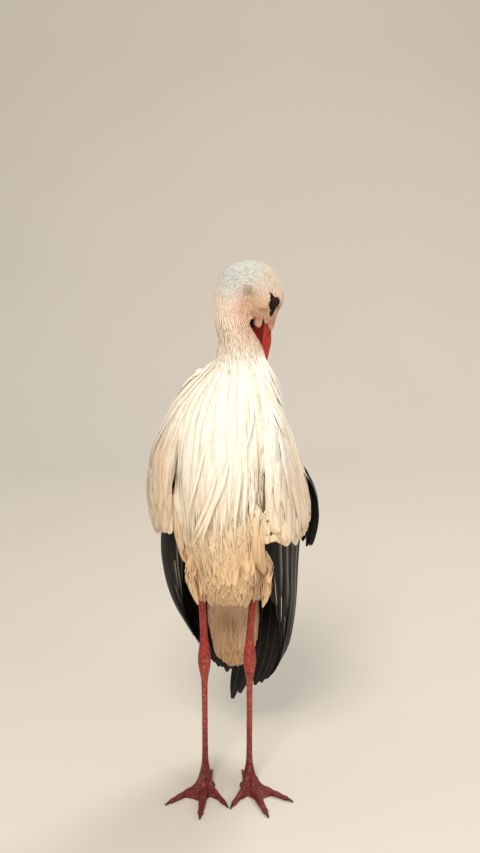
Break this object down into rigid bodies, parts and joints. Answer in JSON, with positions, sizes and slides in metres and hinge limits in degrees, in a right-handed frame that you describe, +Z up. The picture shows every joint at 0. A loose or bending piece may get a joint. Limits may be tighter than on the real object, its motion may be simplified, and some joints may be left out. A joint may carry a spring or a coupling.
{
  "type": "white stork",
  "caption": "White stork standing upright and preening: neck arched over, long red bill tucked into the shoulder feathers, dark wings drooped, red legs straight.",
  "frame": {"origin": "on the floor, under the middle of the bird's box", "axes": "+Z up, -Y the way the breast and toes face, +X the bird's left"},
  "size_m": [0.2444, 0.2632, 0.8004],
  "materials": {
    "white_feathers": "soft white vanes, warm in the hollows",
    "cream_feathers": "soft cream down and short vanes",
    "black_feathers": "smooth black vanes with a cool gloss and paler shafts",
    "bill": "satin red horn, worn lighter along its ridge",
    "leg_skin": "red scaly skin dusted with pale powder",
    "foot_skin": "dark red scaly skin",
    "face_skin": "bare dark skin round the eye and under the bill",
    "eye": "wet dark brown",
    "claw": "dull dark horn"
  },
  "bodies": {
    "root": {"trunk": "white_feathers", "breast_plumes": "white_feathers", "tail": "cream_feathers", "head": "white_feathers", "neck_upper": "white_feathers", "neck_middle": "white_feathers", "neck_lower": "white_feathers", "eye_left": "eye", "eye_right": "eye", "bill_upper": "bill", "bill_lower": "bill", "wing_left_coverts": "white_feathers", "wing_left_greater": "black_feathers", "wing_left_secondaries": "black_feathers", "wing_left_primaries": "black_feathers", "flank_left": "cream_feathers", "wing_right_coverts": "white_feathers", "wing_right_greater": "black_feathers", "wing_right_secondaries": "black_feathers", "wing_right_primaries": "black_feathers", "flank_right": "cream_feathers", "thigh_left": "cream_feathers", "shank_left": "leg_skin", "tarsus_left": "leg_skin", "foot_left": "foot_skin", "toe_left_outer": "foot_skin", "claw_left_outer": "claw", "toe_left_middle": "foot_skin", "claw_left_middle": "claw", "toe_left_inner": "foot_skin", "claw_left_inner": "claw", "toe_left_hind": "foot_skin", "claw_left_hind": "claw", "thigh_right": "cream_feathers", "shank_right": "leg_skin", "tarsus_right": "leg_skin", "foot_right": "foot_skin", "toe_right_outer": "foot_skin", "claw_right_outer": "claw", "toe_right_middle": "foot_skin", "claw_right_middle": "claw", "toe_right_inner": "foot_skin", "claw_right_inner": "claw", "toe_right_hind": "foot_skin", "claw_right_hind": "claw"}
  },
  "joints": []
}
